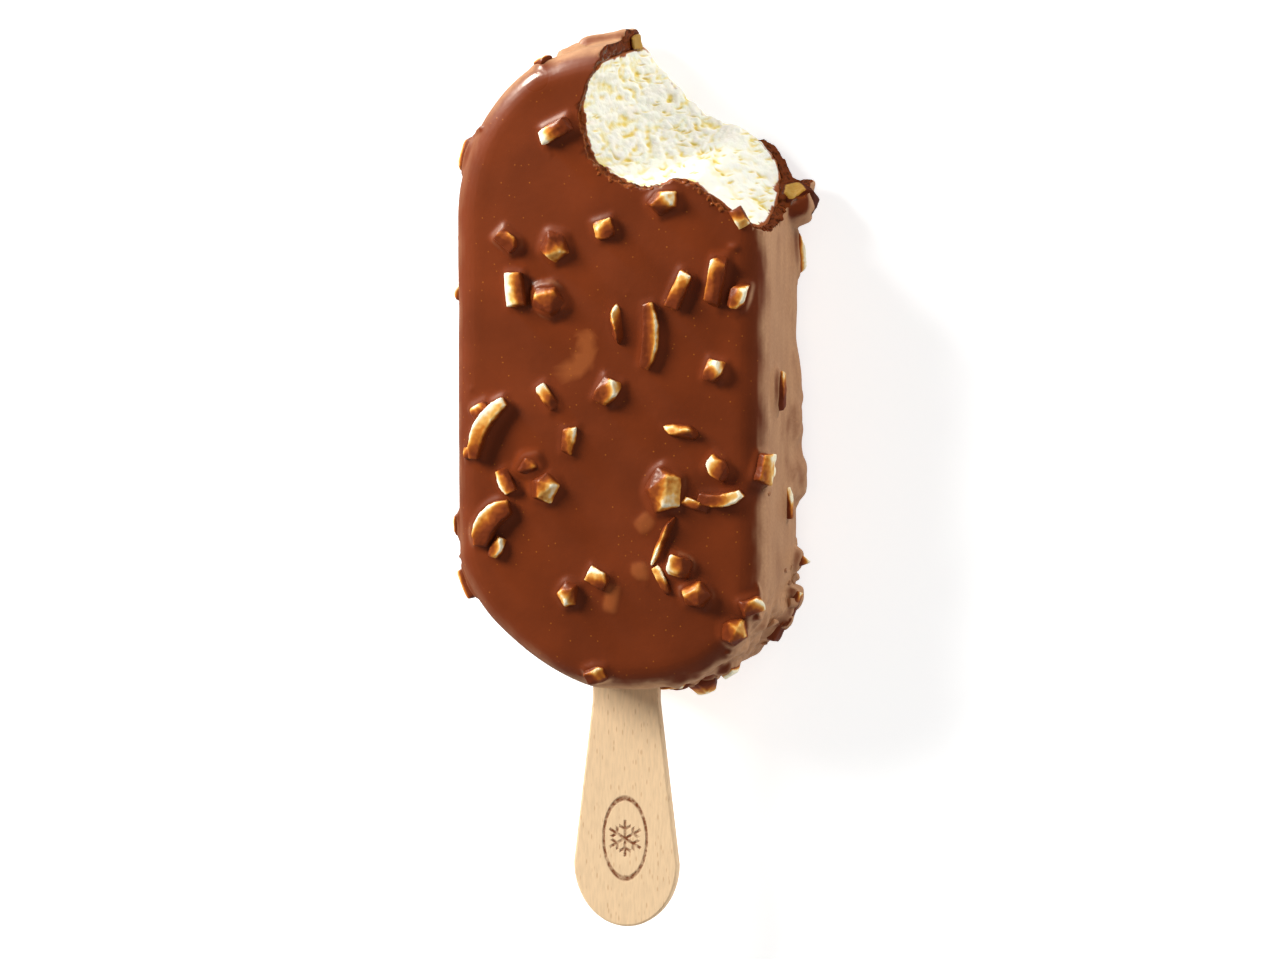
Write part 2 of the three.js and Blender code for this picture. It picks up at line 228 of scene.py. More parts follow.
# What makes up the film of chocolate on an almond, from 0 (bare) to 1 (fully coated).
FILM = {
    "usual": 0.6, "top": 0.42, "foot": 0.5, "bare side": 0.7, "patches": 0.12, "ridge": 1.5,
    "bitten": 0.14, "beside the bite": 0.95,
}

STICK_LOW, STICK_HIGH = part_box("stick")
STICK_MIDDLE = (STICK_LOW.z + STICK_HIGH.z) / 2
MARK_HEIGHT = STICK_LOW.y + 14 * MM

GLINT_COLOUR = (1.0, 0.9, 0.78)  # of the light that makes the highlight
AMBIENT = 0.16  # strength of the light from all round
AIM_RIGHT, AIM_DOWN = 1.9 * MM, 18.4 * MM  # where the camera aims, from the bar's middle


def linear(code):
    """An sRGB hex colour as linear red, green and blue."""
    shares = [int(code[i:i + 2], 16) / 255 for i in (1, 3, 5)]
    return [c / 12.92 if c <= 0.04045 else ((c + 0.055) / 1.055) ** 2.4 for c in shares]


def colour(label, text, code):
    return FloatVectorProperty(name=label, description=text, default=linear(code), subtype="COLOR")


def length(label, text, metres):
    return FloatProperty(name=label, description=text, default=metres, unit="LENGTH")


def tally(label, text, number):
    return IntProperty(name=label, description=text, default=number)


def degrees(label, text, number):
    return FloatProperty(
        name=label, description=text, default=math.radians(number), subtype="ANGLE",
    )


def watts(label, text, power):
    return FloatProperty(name=label, description=text, default=power, unit="POWER")


class BarShape(PropertyGroup):
    width: length("Width", "Width of the coated bar", COAT_HIGH.x - COAT_LOW.x)
    thickness: length("Thickness", "Thickness of the coated bar", COAT_HIGH.z - COAT_LOW.z)
    edge_radius: length("Edge radius", "Rounding of the front and back edges", 4.5 * MM)
    coat: length("Coat", "Thickness of the chocolate on the walls and back", 2.0 * MM)
    front_coat: length("Front coat", "Thickness of the chocolate on the front", 1.35 * MM)
    crown: length("Crown", "How far the front drops towards its edges", 0.45 * MM)
    waviness: length("Waviness", "Unevenness of the chocolate", 0.22 * MM)
    voxel: length("Voxel", "Finest shape that the chocolate shows", 0.3 * MM)


class AlmondShape(PropertyGroup):
    voxel: length("Voxel", "Finest shape that an almond piece shows", 0.2 * MM)
    roughness: length("Roughness", "Unevenness of a cut almond face", 0.15 * MM)
    spread: length("Spread", "How far the chocolate drawn up round an almond reaches", 0.5 * MM)
    hidden_bits: tally("Hidden bits", "Small pieces on the left wall and the back", 26)


class IceCreamShape(PropertyGroup):
    spacing: length("Spacing", "Distance between points on the bitten surface", 0.13 * MM)
    lump: length("Lump", "Height of the soft lumps", 0.62 * MM)
    slit_depth: length("Slit depth", "Depth of the flat air pockets", 0.38 * MM)
    slits: tally("Slits", "Number of flat air pockets", 300)


class Finishes(PropertyGroup):
    chocolate: colour("Chocolate", "Milk chocolate in an even light", "#6F2F12")
    chocolate_cut: colour("Cut chocolate", "Where the bite broke the coat", "#6E3210")
    # Partly real frost, partly a painted sheen of reflected light on the walls.
    bloom: colour("Bloom", "Frost on the walls", "#C4946C")
    # Also the colour of the painted highlight along the broken front lip.
    thin_coat: colour("Thin coat", "Chocolate over a drowned almond", "#9A5228")
    cream: colour("Ice cream", "Vanilla ice cream", "#FFFAE9")
    # Painted shade: the yellow laid into the air pockets and the crevices between lumps.
    cream_deep: colour("Ice cream pockets", "Inside of an air pocket", "#F5DC74")
    kernel: colour("Kernel", "Bare almond", "#FDF3D2")
    bitten_kernel: colour("Bitten kernel", "Tint of almond that was bitten through", "#BCA762")
    golden: colour("Golden", "Almond where the chocolate was wiped off", "#F0B860")
    toasted: colour("Toasted", "Almond under a trace of chocolate", "#C87626")
    amber: colour("Amber", "Almond under a thin film of chocolate", "#94481A")
    beech: colour("Beech", "Plain beech", "#EFCDA2")
    scorch: colour("Scorch", "Burnt mark on the stick", "#7C4424")
    floor: colour("Floor", "Pale table", "#D8D8D7")


class Studio(PropertyGroup):
    turn: degrees("Turn", "Camera turned to the bar's right", 15)
    tilt: degrees("Tilt", "Camera tilted to the bar's top", 5)
    distance: length("Distance", "Camera distance", 1000.0 * MM)
    field: length("Field", "Width that the picture takes in", 200.0 * MM)
    key_power: watts("Key power", "Soft light from the upper left", 4.6)
    fill_power: watts("Fill power", "Soft light from the upper right", 4.3)
    glint_power: watts("Glint power", "Small low light, seen only as a highlight", 4.6)
    side_power: watts("Side power", "Weak light from beyond the stick", 0.35)


# ---- Meshes ----

def deselect():
    if bpy.context.mode != "OBJECT":
        bpy.ops.object.mode_set(mode="OBJECT")
    bpy.ops.object.select_all(action="DESELECT")


def select_only(*pieces):
    deselect()
    for piece in pieces:
        piece.select_set(True)
    bpy.context.view_layer.objects.active = pieces[0]


def edit_all():
    """Goes into edit mode with the whole mesh selected."""
    bpy.ops.object.mode_set(mode="EDIT")
    bpy.ops.mesh.select_all(action="SELECT")


def face_outwards():
    """Turns every face outwards and leaves edit mode."""
    bpy.ops.mesh.select_all(action="SELECT")
    bpy.ops.mesh.normals_make_consistent(inside=False)
    bpy.ops.object.mode_set(mode="OBJECT")


def copied(mesh, name):
    """A copy of a mesh in an object of its own."""
    copy = bpy.data.objects.new(name, mesh.copy())
    bpy.context.scene.collection.objects.link(copy)
    return copy


def remove(*pieces):
    for piece in pieces:
        bpy.data.objects.remove(piece)


def shape_with(piece, kind, **settings):
    """Adds a modifier with its settings and applies it."""
    select_only(piece)
    modifier = piece.modifiers.new(kind.title(), kind)
    for name, value in settings.items():
        setattr(modifier, name, value)
    bpy.ops.object.modifier_apply(modifier=modifier.name)


def cut_away(piece, *cutters):
    for cutter in cutters:
        shape_with(
            piece, "BOOLEAN", operation="DIFFERENCE", object=cutter, solver="MANIFOLD",
            material_mode="TRANSFER",
        )
    remove(*cutters)
    if not piece.data.polygons:
        raise RuntimeError(f"nothing is left of {piece.name}")


def joined(pieces, name):
    """The pieces as one object of that name."""
    select_only(*pieces)
    if len(pieces) > 1:
        bpy.ops.object.join()
    pieces[0].name = name
    return pieces[0]


def spots(mesh):
    """The places of a mesh's vertices in millimetres, one row each."""
    flat = np.empty(len(mesh.vertices) * 3)
    mesh.vertices.foreach_get("co", flat)
    return flat.reshape(-1, 3) / MM


def normals(mesh):
    flat = np.empty(len(mesh.vertices) * 3)
    mesh.vertex_normals.foreach_get("vector", flat)
    return flat.reshape(-1, 3)


def move_to(mesh, places):
    mesh.vertices.foreach_set("co", (places * MM).ravel())
    mesh.update()


def grain(places, reach, seed=0.0, octaves=1):
    """Smooth noise from about -1 to 1 at each place, its lumps `reach` millimetres apart."""
    away = Vector((seed * 17.3, seed * 5.1, seed * 9.7))
    scaled = [Vector(place) / reach + away for place in places]
    if octaves > 1:
        return np.array([noise.fractal(p, 1.0, 2.0, octaves) for p in scaled])
    return np.array([noise.noise(p) for p in scaled])


def rising(values, low, high):
    """0 below `low`, 1 above `high`, and a smooth step between them."""
    share = np.clip((values - low) / (high - low), 0, 1)
    return share * share * (3 - 2 * share)


def store(mesh, name, values):
    """Keeps one number for each vertex, for a material to read."""
    layer = mesh.attributes.new(name, "FLOAT", "POINT")
    layer.data.foreach_set("value", np.asarray(values, dtype=np.float32))


def tree_of(piece):
    """Finds the nearest place on a piece's faces."""
    return BVHTree.FromObject(piece, bpy.context.evaluated_depsgraph_get())


def finder(points):
    """Finds the nearest of the points."""
    tree = KDTree(len(points))
    for i, point in enumerate(points):
        tree.insert(point, i)
    tree.balance()
    return tree


def evenly(points, count):
    """Points the same distance apart along a line through `points`."""
    points = np.asarray(points, dtype=float)
    steps = np.linalg.norm(np.diff(points, axis=0), axis=1)
    along = np.concatenate(([0], np.cumsum(steps)))
    wanted = np.linspace(0, along[-1], count)
    return np.column_stack([np.interp(wanted, along, column) for column in points.T])


def curve_through(points, count):
    """A centripetal curve through the points, as evenly spaced ones."""
    p = np.array(points, dtype=float)
    p = np.vstack((2 * p[0] - p[1], p, 2 * p[-1] - p[-2]))
    knots = np.concatenate(([0], np.cumsum(np.linalg.norm(np.diff(p, axis=0), axis=1) ** 0.5)))
    line = []
    for i in range(1, len(p) - 2):
        t = np.linspace(knots[i], knots[i + 1], 40)[:, None]

        def blend(a, b, start, end):
            return (a * (knots[end] - t) + b * (t - knots[start])) / (knots[end] - knots[start])

        first = [blend(p[j], p[j + 1], j, j + 1) for j in (i - 1, i, i + 1)]
        second = [blend(first[0], first[1], i - 1, i + 1), blend(first[1], first[2], i, i + 2)]
        line.append(blend(second[0], second[1], i, i + 1))
    return evenly(np.vstack(line), count)


def bar_outline(inset, count):
    """Points evenly round the bar, drawn in by `inset`, anticlockwise from the right."""
    half_width = bpy.context.scene.bar_shape.width / MM / 2
    angle = np.linspace(0, math.pi, OUTLINE_SAMPLES)
    caps = []
    for side, cap in ((1, TOP_CAP), (-1, BOTTOM_CAP)):
        across = side * np.cos(angle)
        power = 2 / np.where(across > 0, cap["right"], cap["left"])
        reach = half_width - inset - cap["flat"]
        x = np.sign(across) * (cap["flat"] + reach * np.abs(across) ** power)
        rise = (cap["height"] - inset) * np.abs(np.sin(angle)) ** power
        caps.append(np.column_stack((x, side * (HALF_LENGTH - cap["height"] + rise))))
    return evenly(np.vstack((*caps, caps[0][:1])), count + 1)[:-1]


def bar_body(name, inset, sides, segments):
    """The bar drawn in by `inset`: a circle laid on the outline, extruded and rounded."""
    shape = bpy.context.scene.bar_shape
    deselect()
    bpy.ops.mesh.primitive_circle_add(vertices=sides, radius=shape.width / 2, fill_type="NGON")
    body = bpy.context.object
    body.name = name
    outline = bar_outline(inset, sides)
    move_to(body.data, np.column_stack((outline, np.full(sides, inset))))
    height = shape.thickness - 2 * inset * MM
    edit_all()
    bpy.ops.mesh.extrude_region_move(TRANSFORM_OT_translate={"value": (0, 0, height)})
    bpy.ops.mesh.select_all(action="DESELECT")
    bpy.ops.mesh.select_mode(type="EDGE")
    bpy.ops.object.mode_set(mode="OBJECT")
    for edge in body.data.edges:
        start, end = (body.data.vertices[i].co.z for i in edge.vertices)
        edge.select = abs(start - end) < height / 2
    bpy.ops.object.mode_set(mode="EDIT")
    bpy.ops.mesh.bevel(
        offset=shape.edge_radius - inset * MM, segments=segments, affect="EDGES",
        clamp_overlap=False,
    )
    face_outwards()
    return body


def at_the_top(places, low, high):
    """1 where the front edge meets the top wall beside the bite, fading to 0 round it."""
    x, y, z = places.T
    return rising(y, 40, 48) * (1 - rising(np.abs(x + 3), 5, 11)) * rising(z, low, high)


def fit_inside(body):
    """Makes the room for the ice cream: the coat is thin on the front and thick at the top."""
    shape = bpy.context.scene.bar_shape
    places = spots(body.data)
    places[:, 2] += rising(places[:, 2], 15, 22) * (shape.coat - shape.front_coat) / MM
    places[:, 0] += THIN_WALL * rising(places[:, 0], 15, 22) * rising(places[:, 1], 8, 18)
    corner = at_the_top(places, -5, 0) - at_the_top(places, 2.4, 6)
    places[:, 1] += 1.4 * corner - (TOP_CHAMFER + 0.4) * at_the_top(places, 4, 20)
    move_to(body.data, places)


def merged_copy(cad_node, name):
    """A copy of a CAD node's mesh in an object of its own, its doubles merged."""
    copy = copied(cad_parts[cad_node].data, name)
    copy.data.materials.clear()
    select_only(copy)
    edit_all()
    bpy.ops.mesh.remove_doubles(threshold=0.01 * MM)
    bpy.ops.object.mode_set(mode="OBJECT")
    return copy


def stick_cutter():
    """The stick and a hair's breadth round it, to cut its slot with."""
    cutter = merged_copy("stick", "stick_slot")
    shape_with(cutter, "DISPLACE", strength=STICK_GAP * MM, mid_level=0)
    return cutter


def bite_cutter(name, spacing, roughen):
    """What the bite took. `roughen` gives how far each point of its near side stands out."""
    lines = []
    for points in (BITE_FRONT, BITE_BACK):
        line = curve_through(points, BITE_KNOTS)
        ends = line[0] + (0, BITE_RUN_OUT), line[-1] + (BITE_RUN_OUT, BITE_RUN_OUT / 2)
        lines.append(np.vstack((ends[0], line, ends[1])))
    whole = np.linalg.norm(np.diff(lines[0], axis=0), axis=1).sum()
    share = BITE_RUN_OUT / whole
    knots = np.concatenate(([0], np.linspace(share, 1 - share, BITE_KNOTS), [1]))
    deselect()
    bpy.ops.mesh.primitive_grid_add(
        x_subdivisions=round(whole / spacing), size=2,
        y_subdivisions=round((BITE_ABOVE - BITE_BELOW) / spacing),
    )
    cutter = bpy.context.object
    cutter.name = name
    grid = (spots(cutter.data) * MM + 1) / 2
    along = grid[:, 0]
    z = BITE_BELOW + (BITE_ABOVE - BITE_BELOW) * grid[:, 1]
    depth = (z / (bpy.context.scene.bar_shape.thickness / MM))[:, None]
    front, back = (
        np.column_stack([np.interp(along, knots, axis) for axis in line.T]) for line in lines
    )
    across = back * (1 - depth) + front * depth
    bulge = np.clip(4 * depth[:, 0] * (1 - depth[:, 0]), 0, None)
    edge = np.clip((along - share) / (1 - 2 * share), 0, 1)
    across -= (BITE_SAG / math.sqrt(2) * bulge * np.sin(math.pi * edge))[:, None]
    across[:, 1] -= END_SAG * bulge * rising(edge, END_FROM, 1)
    places = np.column_stack((across, z))
    move_to(cutter.data, places)
    outward = normals(cutter.data)
    outward *= np.sign(outward[:, 0] + outward[:, 1])[:, None]
    move_to(cutter.data, places + outward * roughen(places)[:, None])
    reach = BITE_REACH * MM / math.sqrt(2)
    edit_all()
    bpy.ops.mesh.extrude_region_move(TRANSFORM_OT_translate={"value": (reach, reach, 0)})
    face_outwards()
    return cutter


# ---- Almond pieces ----

def chopped_kernel(seed):
    """A lump of almond a metre each way, trimmed by a few slanting cuts, to be scaled."""
    roll = random.Random(seed)
    deselect()
    bpy.ops.mesh.primitive_cube_add(size=1)
    kernel = bpy.context.object
    bpy.ops.object.mode_set(mode="EDIT")
    for _ in range(7):
        away = Vector((roll.uniform(-1, 1), roll.uniform(-1, 1), roll.uniform(-0.3, 1)))
        away.normalize()
        reach = sum(abs(side) for side in away) / 2 * roll.uniform(0.55, 0.85)
        bpy.ops.mesh.select_all(action="SELECT")
        bpy.ops.mesh.bisect(plane_co=away * reach, plane_no=away, use_fill=True, clear_outer=True)
    bpy.ops.object.mode_set(mode="OBJECT")
    places = spots(kernel.data)
    low, high = places.min(axis=0), places.max(axis=0)
    move_to(kernel.data, (places - (low + high) / 2) / (high - low) / MM)
    return kernel


def tooth_mark():
    """The bitten surface as almonds show it, a little prouder than the chocolate."""
    return bite_cutter(
        "tooth_mark", TOOTH_SPACING, lambda places: np.full(len(places), BITTEN_PROUD),
    )


def seat(body, at):
    """The frame of the coat's surface nearest to a place: sideways, upwards and out of it."""
    spot, out, _, _ = body.find_nearest(Vector(at) * MM)
    up = Vector((0, 0, 1)) if abs(out.y) > 0.9 else Vector((0, 1, 0))
    right = up.cross(out).normalized()
    turned = Matrix((right, out.cross(right), out)).transposed().to_4x4()
    return Matrix.Translation(spot) @ turned


def hidden_bits(count):
    """Seeded pieces low on the left wall and on the back, where they lie flush."""
    roll = random.Random(11)
    rim = bar_outline(0, 200)
    bits = []
    while len(bits) < count:
        size = (roll.uniform(2.4, 6), roll.uniform(1.8, 3.4), roll.uniform(1.6, 2.4))
        look = (roll.choice([0.4, 0.5, 0.6, 1.1]), roll.uniform(0, 360), roll.uniform(-0.3, 0.3))
        turn = roll.uniform(0, 180)
        x, y = rim[roll.randrange(len(rim))]
        if len(bits) % 2:
            inner = roll.uniform(0, 0.85)
            bits.append(((x * inner, y * inner, 0), (*size[:2], 1.4), turn, look))
        elif x < -6 and -49 < y < 40:
            bits.append(((x, y, roll.uniform(4, 11)), size, turn, look))
    return bits


def small_pieces(body):
    """Every small piece in its place, each with its look."""
    kernels = [chopped_kernel(seed) for seed in range(7)]
    front = bpy.context.scene.bar_shape.thickness / MM
    placed = [((*at, front), *rest) for at, *rest in FRONT_BITS]
    placed += WALL_BITS + hidden_bits(bpy.context.scene.almond_shape.hidden_bits)
    bits = []
    for i, (at, size, turn, look) in enumerate(placed):
        bit = copied(kernels[i % len(kernels)].data, f"bit_{i}")
        sunk = BITTEN_SUNK if "bitten" in look else ALMOND_SUNK
        rise = -size[2] / 2 if at[2] == 0 else size[2] / 2 - sunk
        scale = Matrix.Diagonal((*(side * MM for side in size), 1))
        turned = Matrix.Rotation(math.radians(turn), 4, "Z")
        bit.data.transform(
            seat(body, at) @ turned @ Matrix.Translation((0, 0, rise * MM)) @ scale
        )
        if "bitten" in look:
            cut_away(bit, tooth_mark())
        bits.append((bit, look))
    remove(*kernels)
    return bits


def almond_nodes():
    return sorted(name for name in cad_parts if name.startswith("almond_"))


def large_pieces():
    """A copy of every almond node, each with its look."""
    pieces = []
    for name in almond_nodes():
        copy = merged_copy(name, name + "_copy")
        plump = PLUMPED.get(name, USUAL_PLUMP)
        shape_with(copy, "DISPLACE", strength=plump * MM, mid_level=0)
        if ALMOND_LOOKS[name][0] > 1:
            copy.data.transform(Matrix.Translation((0, 0, -DROWNED_DEPTH * MM)))
        if "bitten" in ALMOND_LOOKS[name]:
            cut_away(copy, tooth_mark())
        pieces.append((copy, ALMOND_LOOKS[name]))
    return pieces


def height_over(places, body):
    """How far each place stands out of the plain bar, in millimetres."""
    heights = []
    for place in places:
        spot, out, _, _ = body.find_nearest(Vector(place) * MM)
        heights.append((Vector(place) - spot / MM).dot(out))
    return np.array(heights)


def neighbours_mean(mesh):
    """A function that turns values for the vertices into the means of their neighbours'."""
    ends = np.empty(len(mesh.edges) * 2, dtype=np.int64)
    mesh.edges.foreach_get("vertices", ends)
    ends = ends.reshape(-1, 2)
    count = np.bincount(ends.ravel(), minlength=len(mesh.vertices))[:, None]

    def around(values):
        total = np.zeros_like(values)
        np.add.at(total, ends[:, 0], values[ends[:, 1]])
        np.add.at(total, ends[:, 1], values[ends[:, 0]])
        return total / count

    return around


def draw_up(coat, pieces, body):
    """Draws the chocolate up round the foot of every almond, and over the drowned ones."""
    spread = bpy.context.scene.almond_shape.spread / MM
    places = spots(coat.data)
    lift = np.zeros(len(places))
    for piece, (cover, *_) in pieces:
        shell = spots(piece.data)
        climb = min(cover, 1) ** CLIMB_POWER * height_over(shell, body).max()
        climb *= DROWNED_CLIMB if cover > 1 else CLIMB
        low, high = shell.min(axis=0) - 3 * spread, shell.max(axis=0) + 3 * spread
        tree = tree_of(piece)
        for i in np.flatnonzero(((places > low) & (places < high)).all(axis=1)):
            place = Vector(places[i]) * MM
            spot, out, _, gap = tree.find_nearest(place)
            if (place - spot).dot(out) < 0:
                gap = 0
            lift[i] = max(lift[i], climb * math.exp(-(gap / MM / spread) ** 2))
    lift *= 0.9 + 0.35 * grain(places, 2.5, 14.0)
    mean = neighbours_mean(coat.data)
    for _ in range(4):
        lift = (lift + mean(lift[:, None])[:, 0]) / 2
    move_to(coat.data, places + normals(coat.data) * lift[:, None])


def film_on(mesh, height, owner, pieces):
    """How thick the chocolate lies on each point of the almonds: 0 bare, 1 fully coated. It is
    thick at the foot, and thin on the top, the ridges and each piece's bare side."""
    places, outward = spots(mesh), normals(mesh)
    tops = np.ones(len(pieces))
    climb = np.ones(len(pieces))
    towards = np.zeros(len(places))
    thicker = np.zeros(len(places))
    for i, (cover, side, more, *_) in enumerate(pieces):
        own = owner == i
        if own.any():
            tops[i] = max(height[own].max(), 0.5)
            climb[i] = CLIMB * cover ** CLIMB_POWER * tops[i]
            away = places[own] - places[own].mean(axis=0)
            turn = math.radians(side)
            reach = away[:, 0] * math.cos(turn) + away[:, 1] * math.sin(turn)
            towards[own] = reach / np.abs(reach).max()
            thicker[own] = more
    around = neighbours_mean(mesh)
    ridge = -((around(around(places)) - places) * outward).sum(axis=1, keepdims=True)
    for _ in range(3):
        ridge = (ridge + around(ridge)) / 2
    ridge = ridge[:, 0] / (bpy.context.scene.almond_shape.voxel / MM)
    film = (
        FILM["usual"] + thicker - FILM["top"] * (height / tops[owner] - 0.55)
        + FILM["foot"] * (1 - rising(height - climb[owner], -0.3, 0.7))
        - FILM["bare side"] * towards - FILM["ridge"] * np.clip(ridge - 0.05, -0.15, 0.4)
        + FILM["patches"] * grain(places, 2.0, 5.0, 2)
    )
    return np.clip(film, 0, 1)


def finish_almonds(pieces, name, body):
    """Joins the pieces, softens their edges and lays the film of chocolate on them."""
    shape = bpy.context.scene.almond_shape
    for i, (piece, _) in enumerate(pieces):
        mark = piece.data.attributes.new("owner", "INT", "FACE")
        mark.data.foreach_set("value", np.full(len(piece.data.polygons), i, dtype=np.int32))
    almonds = joined([piece for piece, _ in pieces], name)
    cut = tree_of(almonds)
    owners = np.empty(len(almonds.data.polygons), dtype=np.int32)
    almonds.data.attributes["owner"].data.foreach_get("value", owners)
    shape_with(almonds, "REMESH", mode="VOXEL", voxel_size=shape.voxel)
    shape_with(almonds, "SMOOTH", factor=0.5, iterations=5)
    places = spots(almonds.data)
    owner = np.array([owners[cut.find_nearest(Vector(place) * MM)[2]] for place in places])
    rough = 0.8 * grain(places, 1.6, 1.0) + 0.3 * grain(places, 0.6, 2.0)
    move_to(almonds.data, places + normals(almonds.data) * (rough * shape.roughness / MM)[:, None])
    height = height_over(places, body)
    looks = [look for _, look in pieces]
    film = film_on(almonds.data, height, owner, looks)
    bitten = np.array(["bitten" in look for look in looks])[owner]
    mark = tooth_mark()
    surface = tree_of(mark)
    remove(mark)
    for i in np.flatnonzero(bitten):
        bare = surface.find_nearest(Vector(places[i]) * MM)[3] < BARE_DEPTH * MM
        film[i] = FILM["bitten"] if bare else FILM["beside the bite"]
    store(almonds.data, "film", film)
    store(almonds.data, "bitten", bitten)
    almonds.data.shade_smooth()
    dress(almonds, material(almond_under_chocolate))
    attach(almonds, "root")
    return almonds


# ---- Materials ----

def node(tree, kind, inputs=None, stops=(), **settings):
    """Adds a node with its settings. Each input is a value, a socket, or a node whose result it
    takes; stops fill a colour ramp."""
    made = tree.nodes.new("ShaderNode" + kind)
    for name, value in settings.items():
        setattr(made, name, value)
    for key, value in (inputs or {}).items():
        socket = made.inputs[key]
        if isinstance(value, bpy.types.Node):
            value = next(output for output in value.outputs if output.enabled)
        if isinstance(value, bpy.types.NodeSocket):
            tree.links.new(value, socket)
        else:
            socket.default_value = (*value, 1) if socket.type == "RGBA" else value
    for i, (place, shade) in enumerate(stops):
        ramp = made.color_ramp.elements
        stop = ramp[i] if i < len(ramp) else ramp.new(place)
        stop.position = place
        stop.color = (*shade, 1)
    return made


def material(recipe):
    """A material named after its recipe, a function that adds its nodes and gives the inputs of
    its Principled shader."""
    made = bpy.data.materials.new(recipe.__name__)
    made.use_nodes = True
    tree = made.node_tree
    tree.nodes.clear()
    place = node(tree, "TexCoord").outputs["Object"]
    shader = node(tree, "BsdfPrincipled", recipe(tree, place, bpy.context.scene.finishes))
    node(tree, "OutputMaterial", {"Surface": shader})
    return made


def dress(piece, *materials):
    piece.data.materials.clear()
    for made in materials:
        piece.data.materials.append(made)


def shades(shade, *shares):
    """The colour, darker for a share under 1 and lighter for one over it."""
    return [[c * share for c in shade] for share in shares]


def rare_dots(tree, place, apart, rim, core):
    """Dots in two cells out of five, the cells `apart` wide: 1 at their core, 0 at their rim."""
    cell = node(tree, "TexVoronoi", {"Vector": place, "Scale": 1 / apart})
    dot = node(
        tree, "MapRange", {"Value": cell.outputs["Distance"], "From Min": rim, "From Max": core},
    )
    chance = node(tree, "SeparateColor", {0: cell.outputs["Color"]}).outputs[0]
    rare = node(tree, "Math", {0: chance, 1: 0.6}, operation="GREATER_THAN")
    return node(tree, "Math", {0: dot, 1: rare}, operation="MULTIPLY")


def milk_chocolate(tree, place, finish):
    """Set milk chocolate: smooth and satin, with a faint cloudiness, fine specks of cocoa and
    sugar, and a breath of frost on the walls, with a painted sheen of reflected light over it."""
    cloud = node(tree, "TexNoise", {"Vector": place, "Scale": 1 / (9 * MM), "Detail": 3.0})
    dark, light = shades(finish.chocolate, 0.86, 1.16)
    tone = node(tree, "ValToRGB", {0: cloud}, [(0.3, dark), (0.7, light)])
    thin = node(tree, "Attribute", attribute_name="thin").outputs["Fac"]
    over = node(tree, "Mix", {0: thin, 6: tone, 7: finish.thin_coat}, data_type="RGBA")
    speck = rare_dots(tree, place, 1.1 * MM, 0.14, 0.05)
    faint = node(tree, "Math", {0: speck, 1: 0.5}, operation="MULTIPLY")
    flecked = node(tree, "Mix", {0: faint, 6: over, 7: finish.toasted}, data_type="RGBA")
    # The frost mask is partly real frost and partly a painted sheen of reflected light.
    frost_and_sheen = node(tree, "Attribute", attribute_name="frost_and_sheen").outputs["Fac"]
    dust = node(tree, "TexNoise", {"Vector": place, "Scale": 1 / (0.5 * MM), "Detail": 2.0})
    patchy = node(
        tree, "MapRange", {"Value": dust, "From Min": 0.3, "From Max": 0.7, "To Min": 0.82},
    )
    frost_and_sheen_mask = node(tree, "Math", {0: frost_and_sheen, 1: patchy}, operation="MULTIPLY")
    frosted_and_sheened = node(tree, "Mix", {0: frost_and_sheen_mask, 6: flecked, 7: finish.bloom}, data_type="RGBA")
    satin = node(tree, "MapRange", {"Value": cloud, "To Min": 0.4, "To Max": 0.5})
    smooth = node(tree, "Attribute", attribute_name="smooth").outputs["Fac"]
    glossy = node(tree, "Math", {0: smooth, 1: -0.25, 2: satin}, operation="MULTIPLY_ADD")
    ripple = node(tree, "TexNoise", {"Vector": place, "Scale": 1 / (0.9 * MM), "Detail": 4.0})
    bump = node(tree, "Bump", {"Height": ripple, "Distance": 0.03 * MM})
    pimple = node(tree, "Bump", {"Height": speck, "Distance": 0.02 * MM, "Normal": bump})
    return {
        "Base Color": frosted_and_sheened, "Roughness": glossy, "Normal": pimple, "IOR": 1.46,
        "Specular IOR Level": 0.3,
    }


def broken_chocolate(tree, place, finish):
    """Chocolate where teeth broke it: dark, grainy and wet, with a painted highlight along its
    front lip.
    """
    crumb = node(tree, "TexNoise", {"Vector": place, "Scale": 1 / (0.7 * MM), "Detail": 4.0})
    dark, cut = shades(finish.chocolate_cut, 0.45, 1)
    tone = node(
        tree, "ValToRGB", {0: crumb}, [(0.38, dark), (0.5, cut), (0.68, finish.chocolate)],
    )
    front = bpy.context.scene.bar_shape.thickness
    # Painted highlight: the front lip lightened as if its edge caught the light.
    lip_highlight = node(tree, "MapRange", {
        "Value": node(tree, "SeparateXYZ", {0: place}).outputs[2],
        "From Min": front - 0.75 * MM, "From Max": front - 0.35 * MM, "To Max": 0.6,
    })
    with_lip_highlight = node(tree, "Mix", {0: lip_highlight, 6: tone, 7: finish.thin_coat}, data_type="RGBA")
    bump = node(tree, "Bump", {"Height": crumb, "Distance": 0.15 * MM})
    return {
        "Base Color": with_lip_highlight, "Roughness": 0.24, "Normal": bump, "IOR": 1.46,
        "Specular IOR Level": 0.12,
    }


